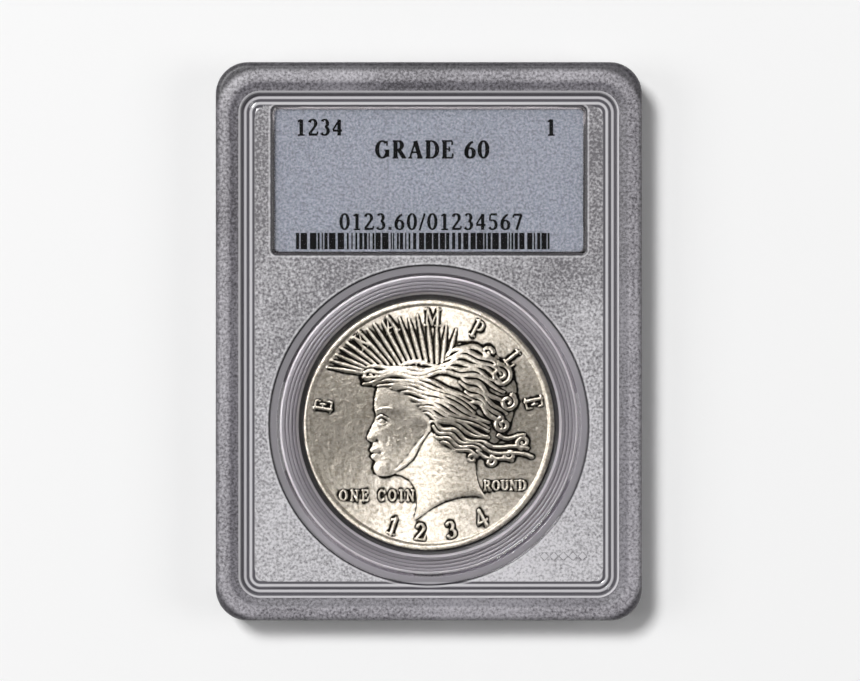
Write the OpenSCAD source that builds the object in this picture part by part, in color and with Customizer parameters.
// Graded coin slab: a sealed two-part clear plastic holder with one large coin and a printed
// grade label inside. It lies on its back. The origin is at the middle of its outline, on the
// surface that it rests on. +Y points to the label end and +Z out of the front. Millimetres.

/* [Slab] */
// Width of the slab across X
slab_w = 64.5; // [62:0.5:80]
// Height of the slab along Y, from the bottom edge to the label end
slab_h = 84.5; // [83:0.5:106]
// Thickness of the slab, from the rear ridge to the front rim
slab_t = 7.6; // [7.4:0.1:10]
// Radius of the slab's corners in plan
corner_r = 4.9; // [4.6:0.1:7]
// Rounding of the outer edge, front and back
edge_round = 0.9; // [0.4:0.1:1.2]

/* [Front rim and rear ridge] */
// Width of the raised rim on the sides and the bottom
rim_w = 3.6; // [3.4:0.1:4.2]
// Width of the raised rim at the label end
rim_top_w = 4.5; // [3.4:0.1:5]
// Height of the rim above the front panel
rim_h = 0.8; // [0.5:0.1:1]
// Radius of the corners of the opening inside the rim
open_r = 3.2; // [2.6:0.1:4]
// Width and height of the bevel inside the rim
rim_bevel = 0.45; // [0.2:0.05:0.5]
// Width of the channel between the rim and the front panel
channel_w = 0.8; // [0.5:0.1:1]
// Depth of the channel below the front panel
channel_d = 0.3; // [0.1:0.05:0.4]
// Width of the rear ridge that nests inside the rim of the next slab in a stack
ridge_w = 1.6; // [1:0.1:2]
// Depth of the rear panel above the ridge's face
rear_recess = 0.4; // [0.2:0.05:0.5]
// Room around the ridge when two slabs are stacked
nest_gap = 0.3; // [0.2:0.05:0.5]

/* [Walls and seam] */
// Thickness of the front panel
front_t = 1.5; // [1.2:0.1:1.8]
// Thickness of the rear panel
rear_t = 1.2; // [1:0.1:1.6]
// Width of the shells' edge wall, from the outline to the cavity
wall_w = 4.4; // [4.2:0.1:5]
// Distance from the outline to the middle of the tongue
tongue_inset = 2; // [1.6:0.1:2.4]
// Width of the tongue on the rear shell
tongue_w = 1; // [0.6:0.1:1.2]
// Height of the tongue
tongue_h = 1.2; // [0.8:0.1:1.4]
// Room on each side of the tongue in its groove
tongue_gap = 0.08; // [0.04:0.01:0.15]
// Gap left between the two shells at the parting line
seam_gap = 0.06; // [0.04:0.01:0.1]
// Height of the weld bead between the tongue and the groove's end
bead_h = 0.2; // [0.1:0.05:0.3]
// Width of the weld bead
bead_w = 0.7; // [0.4:0.1:0.8]

/* [Coin] */
// Diameter of the coin
coin_d = 38.1; // [28:0.1:39]
// Thickness of the coin at its rim
coin_t = 2.4; // [1.8:0.1:2.4]
// Width of the coin's raised rim
coin_rim_w = 0.9; // [0.6:0.1:1.4]
// Depth of the coin's fields below the rim
coin_field_d = 0.2; // [0.1:0.05:0.4]
// Height of the raised design above the fields
relief_h = 0.15; // [0.05:0.05:0.2]
// Radius of the round boss in the middle of the design
boss_r = 5; // [3:0.5:6]
// Length of the rays round the boss
ray_len = 6; // [3:0.5:6]
// Width of the rays
ray_w = 1.2; // [0.6:0.1:2]
// Radius of the beads round the design
coin_bead_r = 0.7; // [0.4:0.1:0.8]
// Distance from the coin's rim in to the middle of the beads
bead_in = 1.6; // [1:0.1:2]
// Room around the coin's edge, so that it can turn in its gasket
coin_gap = 0.06; // [0.03:0.01:0.1]
// Room between the coin and the front panel
coin_play = 0.15; // [0.1:0.05:0.4]

/* [Gasket and its ring wall] */
// Width of the gasket from the coin's edge to its outside
gasket_w = 3.75; // [3:0.05:4]
// Room between the gasket and the ring wall around it
gasket_gap = 0.1; // [0.05:0.05:0.2]
// Thickness of the ring wall
ring_wall = 0.9; // [0.6:0.1:1]
// Width of the gasket's lip under the coin's rim
lip_w = 0.8; // [0.5:0.1:1]
// Distance from the coin's edge to the shallow groove round the top of the gasket
gasket_groove_out = 1.45; // [1:0.05:1.7]
// Width of that groove
gasket_groove_w = 1.2; // [0.8:0.1:1.2]
// Depth of that groove
gasket_groove_d = 0.6; // [0.3:0.1:0.8]

/* [Coin window] */
// Distance from the slab's bottom edge up to the round window
window_up = 5.4; // [5:0.1:6]
// How far the window's smooth band runs past the ring wall
window_past = 0.4; // [0.2:0.1:0.6]
// Width of the smooth band
window_band = 1.1; // [0.8:0.1:1.4]
// Depth of the band below the panel
window_step = 0.2; // [0.1:0.05:0.3]
// Width of the bevel inside the band
window_bevel = 0.5; // [0.3:0.1:0.8]
// Depth of the dished middle below the band
window_dish = 0.25; // [0.1:0.05:0.3]
// Depth of the round window on the back
rear_window_d = 0.25; // [0.1:0.05:0.3]

/* [Label] */
// Width of the label card
label_w = 46.8; // [36:0.2:48]
// Height of the label card
label_h = 21.6; // [16:0.2:21.8]
// Thickness of the label card
label_t = 0.3; // [0.2:0.05:0.4]
// Distance from the slab's label end down to the card
label_down = 7.1; // [7:0.1:7.8]
// Room around the card in its frame
label_gap = 0.15; // [0.1:0.05:0.3]
// Thickness of the card's frame
label_wall = 0.7; // [0.5:0.1:0.8]
// Width of the ledge that carries the card
label_ledge = 1.4; // [1:0.1:2]
// Depth of the label's window below the panel, and the width of its bevel
label_recess = 0.35; // [0.2:0.05:0.5]
// Corner radius of the label's window
label_corner = 0.8; // [0.6:0.1:1.5]
// Width of the foil seal on the back of the card
seal_w = 20; // [12:1:30]
// Height of the foil seal
seal_h = 11; // [8:1:14]
// Thickness of the foil seal
seal_t = 0.08; // [0.05:0.01:0.1]

/* [Ribs and mark] */
// Distance from the outline to the outside of the ribs that locate the shells
rib_inset = 5; // [4.8:0.1:5.2]
// Thickness of those ribs
rib_w = 0.9; // [0.6:0.1:1]
// Distance from the bottom edge to the lower ends of the side ribs
side_rib_up = 11.9; // [9:0.1:14]
// Distance from the label end to the upper ends of the side ribs
side_rib_down = 7.5; // [7:0.1:10]
// Length of the ribs along the bottom and the label end
end_rib_len = 40; // [20:1:42]
// Room between the ribs and the front panel
rib_gap = 0.15; // [0.1:0.05:0.3]
// Distance from the right side to the middle of the moulded mark
mark_right = 11.9; // [11:0.1:13]
// Distance from the bottom edge to the middle of the moulded mark
mark_up = 9.75; // [8.5:0.1:10]
// Length of the row of diamonds in the mark
mark_len = 7.2; // [4:0.1:7.6]
// Number of diamonds in the mark
mark_count = 5; // [3:1:7]
// Gap between the diamonds
mark_gap = 0.2; // [0.1:0.05:0.4]
// Height of the mark above the panel
mark_h = 0.12; // [0.05:0.01:0.3]

/* [Hidden] */
$fn = 96;
// How far a cut runs past the face that it opens
over = 1;
// How far the parts of one solid run into each other
sink = 0.1;

// Levels, from the surface that the slab rests on
panel_z = slab_t - rim_h;
cavity_top = panel_z - front_t;
rear_face_z = rim_h;
cavity_floor = rear_recess + rear_t;
seam_z = slab_t / 2;
front_seam = seam_z + seam_gap / 2;
rear_seam = seam_z - seam_gap / 2;
tongue_top = rear_seam + tongue_h;
groove_top = tongue_top + bead_h;
coin_r = coin_d / 2;
coin_z1 = cavity_top - coin_play;
coin_z0 = coin_z1 - coin_t;
gasket_bore = coin_r + coin_gap;
gasket_z0 = cavity_floor;
gasket_z1 = cavity_top - coin_play / 2;
wall_top = cavity_top - rib_gap;
gasket_r = coin_r + gasket_w;
gasket_groove_r = coin_r + gasket_groove_out;
ring_r = gasket_r + gasket_gap;
window_r = ring_r + ring_wall + window_past;
coin_y = window_up + window_r - slab_h / 2;
label_y = slab_h / 2 - label_down - label_h / 2;
label_z1 = wall_top;
label_z0 = label_z1 - label_t;

// The opening inside the rim sits off centre, because the rim is wider at the label end
open_w = slab_w - 2 * rim_w;
open_h = slab_h - rim_w - rim_top_w;
open_y = (rim_w - rim_top_w) / 2;
inner_w = open_w - 2 * rim_bevel;
inner_h = open_h - 2 * rim_bevel;
inner_r = open_r - rim_bevel;
panel_w = inner_w - 2 * channel_w;
panel_h = inner_h - 2 * channel_w;
panel_r = inner_r - channel_w;

// The cavity keeps the same extra width at the label end
cavity_w = slab_w - 2 * wall_w;
cavity_h = slab_h - 2 * wall_w - rim_top_w + rim_w;
cavity_r = 1.8;

// The rear ridge follows the opening of the next slab's rim
ridge_out_w = inner_w - 2 * nest_gap;
ridge_out_h = inner_h - 2 * nest_gap;
ridge_out_r = inner_r - nest_gap;
ridge_in_w = ridge_out_w - 2 * ridge_w;
ridge_in_h = ridge_out_h - 2 * ridge_w;
ridge_in_r = max(ridge_out_r - ridge_w, 0.4);

label_frame_w = label_w + 2 * (label_gap + label_wall);
label_frame_h = label_h + 2 * (label_gap + label_wall);

// Rounded rectangle, centred
module outline(w, h, r) {
    square([w - 2 * r, h], center = true);
    square([w, h - 2 * r], center = true);
    for (sx = [-1, 1], sy = [-1, 1])
        translate([sx * (w / 2 - r), sy * (h / 2 - r)])
            circle(r);
}

// Plate with a rounded-rectangle outline between two levels
module plate(w, h, r, z0, z1) {
    translate([0, 0, z0])
        linear_extrude(z1 - z0)
            outline(w, h, r);
}

// Rectangular plate between two levels
module block(w, h, z0, z1) {
    translate([-w / 2, -h / 2, z0])
        cube([w, h, z1 - z0]);
}

// Carries a profile round a rounded rectangle. The profile's X is the distance from the
// corner's axis, so X = r is on the outline, and its Y is the level.
module carry_round(w, h, r) {
    for (turn = [0, 180])
        rotate([0, 0, turn]) {
            translate([w / 2 - r, h / 2 - r, 0])
                rotate([90, 0, 0])
                    linear_extrude(h - 2 * r)
                        children();
            translate([-w / 2 + r, h / 2 - r, 0])
                rotate([90, 0, 90])
                    linear_extrude(w - 2 * r)
                        children();
        }
    for (corner = [[1, 1, 0], [-1, 1, 90], [-1, -1, 180], [1, -1, 270]])
        translate([corner[0] * (w / 2 - r), corner[1] * (h / 2 - r), 0])
            rotate([0, 0, corner[2]])
                rotate_extrude(angle = 90)
                    children();
}

// Bevelled pocket: a rounded rectangle at the bottom, wider by the bevel at the top
module bevelled_pocket(w, h, r, z0, z1, bevel) {
    plate(w, h, r, z0, z1 + over);
    carry_round(w + 2 * bevel, h + 2 * bevel, r + bevel)
        polygon([
            [r - sink, z1 - bevel],
            [r, z1 - bevel],
            [r + bevel, z1],
            [r + bevel, z1 + over],
            [r - sink, z1 + over]
        ]);
}

// What is cut off the outer edge to leave it rounded
module edge_waste(z, side) {
    carry_round(slab_w, slab_h, corner_r)
        difference() {
            translate([corner_r - edge_round, side > 0 ? z - edge_round : z - over])
                square([edge_round + over, edge_round + over]);
            translate([corner_r - edge_round, z - side * edge_round])
                circle(edge_round);
        }
}

// Ring between two radii and two levels, round the coin's axis
module ring(r_in, r_out, z0, z1) {
    translate([0, coin_y, z0])
        difference() {
            cylinder(r = r_out, h = z1 - z0);
            translate([0, 0, -over])
                cylinder(r = r_in, h = z1 - z0 + 2 * over);
        }
}

// Round window: a smooth band, a bevel and a dished middle
module round_window() {
    translate([0, coin_y, panel_z - window_step])
        cylinder(r = window_r, h = window_step + over);
    translate([0, coin_y, panel_z - window_step - window_dish])
        cylinder(r1 = window_r - window_band - window_bevel, r2 = window_r - window_band, h = window_dish);
}

module side_ribs() {
    length = slab_h - side_rib_up - side_rib_down;
    for (side = [-1, 1])
        translate([side * (slab_w / 2 - rib_inset - rib_w / 2), (side_rib_up - side_rib_down) / 2, 0])
            block(rib_w, length, cavity_floor - sink, wall_top);
}

module end_ribs() {
    translate([0, -slab_h / 2 + rib_inset + rib_w / 2, 0])
        block(end_rib_len, rib_w, cavity_floor - sink, wall_top);
    translate([0, slab_h / 2 - rib_inset - rim_top_w + rim_w - rib_w / 2, 0])
        block(end_rib_len, rib_w, cavity_floor - sink, wall_top);
}

// Frame with a ledge inside it that carries the card
module label_frame() {
    translate([0, label_y, 0])
        difference() {
            block(label_frame_w, label_frame_h, cavity_floor - sink, wall_top);
            block(label_w + 2 * label_gap, label_h + 2 * label_gap, label_z0, wall_top + over);
            block(label_w - 2 * label_ledge, label_h - 2 * label_ledge, cavity_floor, wall_top + over);
        }
}

// Row of small diamonds, moulded on the panel
module moulded_mark() {
    pitch = mark_len / mark_count;
    side = (pitch - mark_gap) / sqrt(2);
    for (i = [0 : mark_count - 1])
        translate([slab_w / 2 - mark_right + (i - (mark_count - 1) / 2) * pitch, mark_up - slab_h / 2, 0])
            rotate([0, 0, 45])
                block(side, side, panel_z - sink, panel_z + mark_h);
}

module front_shell() {
    color("Silver", 0.4)
        difference() {
            plate(slab_w, slab_h, corner_r, front_seam, slab_t);
            edge_waste(slab_t, 1);
            translate([0, open_y, 0])
                bevelled_pocket(inner_w, inner_h, inner_r, panel_z, slab_t, rim_bevel);
            translate([0, open_y, 0])
                difference() {
                    plate(inner_w, inner_h, inner_r, panel_z - channel_d, panel_z + over);
                    plate(panel_w, panel_h, panel_r, panel_z - channel_d - over, panel_z + 2 * over);
                }
            round_window();
            translate([0, label_y, 0])
                bevelled_pocket(label_w, label_h, label_corner, panel_z - label_recess, panel_z, label_recess);
            translate([0, open_y, 0])
                plate(cavity_w, cavity_h, cavity_r, front_seam - over, cavity_top);
            carry_round(slab_w, slab_h, corner_r)
                translate([corner_r - tongue_inset - tongue_w / 2 - tongue_gap, front_seam - over])
                    square([tongue_w + 2 * tongue_gap, groove_top - front_seam + over]);
        }
    color("Silver", 0.4)
        moulded_mark();
}

module rear_shell() {
    color("LightGrey", 0.4) {
        difference() {
            union() {
                plate(slab_w, slab_h, corner_r, rear_face_z, rear_seam);
                translate([0, open_y, 0])
                    plate(ridge_out_w, ridge_out_h, ridge_out_r, 0, rear_face_z + sink);
                carry_round(slab_w, slab_h, corner_r)
                    translate([corner_r - tongue_inset - tongue_w / 2, rear_seam - sink])
                        square([tongue_w, tongue_h + sink]);
            }
            edge_waste(rear_face_z, -1);
            translate([0, open_y, 0])
                plate(ridge_in_w, ridge_in_h, ridge_in_r, -over, rear_recess);
            translate([0, open_y, 0])
                plate(cavity_w, cavity_h, cavity_r, cavity_floor, rear_seam + over);
            translate([0, coin_y, rear_recess - over])
                cylinder(r = gasket_r - lip_w, h = rear_window_d + over);
            translate([0, label_y, 0])
                block(label_w - 2 * label_ledge, label_h - 2 * label_ledge, -over, rear_recess + rear_window_d);
        }
        side_ribs();
        end_ribs();
        ring(ring_r, ring_r + ring_wall, cavity_floor - sink, wall_top);
        label_frame();
    }
}

module weld_bead() {
    color("WhiteSmoke")
        carry_round(slab_w, slab_h, corner_r)
            translate([corner_r - tongue_inset - bead_w / 2, tongue_top])
                square([bead_w, bead_h]);
}

module coin_gasket() {
    color("DimGray", 0.6)
        difference() {
            ring(gasket_bore - lip_w, gasket_r, gasket_z0, gasket_z1);
            translate([0, coin_y, coin_z0 - coin_gap])
                cylinder(r = gasket_bore, h = slab_t);
            ring(gasket_groove_r, gasket_groove_r + gasket_groove_w, gasket_z1 - gasket_groove_d, gasket_z1 + over);
        }
}

// One face of the coin's plain raised design: a ring of beads round a star of rays
module coin_design(z0, z1) {
    for (turn = [0 : 30 : 330])
        rotate([0, 0, turn])
            translate([coin_r - coin_rim_w - bead_in, 0, z0])
                cylinder(r = coin_bead_r, h = z1 - z0);
    for (turn = [0 : 45 : 315])
        rotate([0, 0, turn])
            translate([boss_r - sink, -ray_w / 2, z0])
                cube([ray_len + sink, ray_w, z1 - z0]);
    translate([0, 0, z0])
        cylinder(r = boss_r, h = z1 - z0);
}

module coin() {
    color("Tan")
        translate([0, coin_y, 0]) {
            difference() {
                translate([0, 0, coin_z0])
                    cylinder(r = coin_r, h = coin_t);
                translate([0, 0, coin_z1 - coin_field_d])
                    cylinder(r = coin_r - coin_rim_w, h = coin_field_d + over);
                translate([0, 0, coin_z0 - over])
                    cylinder(r = coin_r - coin_rim_w, h = coin_field_d + over);
            }
            coin_design(coin_z1 - coin_field_d - sink, coin_z1 - coin_field_d + relief_h);
            coin_design(coin_z0 + coin_field_d - relief_h, coin_z0 + coin_field_d + sink);
        }
}

module grade_label() {
    color("LightSteelBlue")
        translate([0, label_y, 0])
            block(label_w, label_h, label_z0, label_z1);
}

module hologram_seal() {
    color("Gainsboro")
        translate([0, label_y, 0])
            block(seal_w, seal_h, label_z0 - seal_t, label_z0);
}

front_shell();
rear_shell();
weld_bead();
coin_gasket();
coin();
grade_label();
hologram_seal();
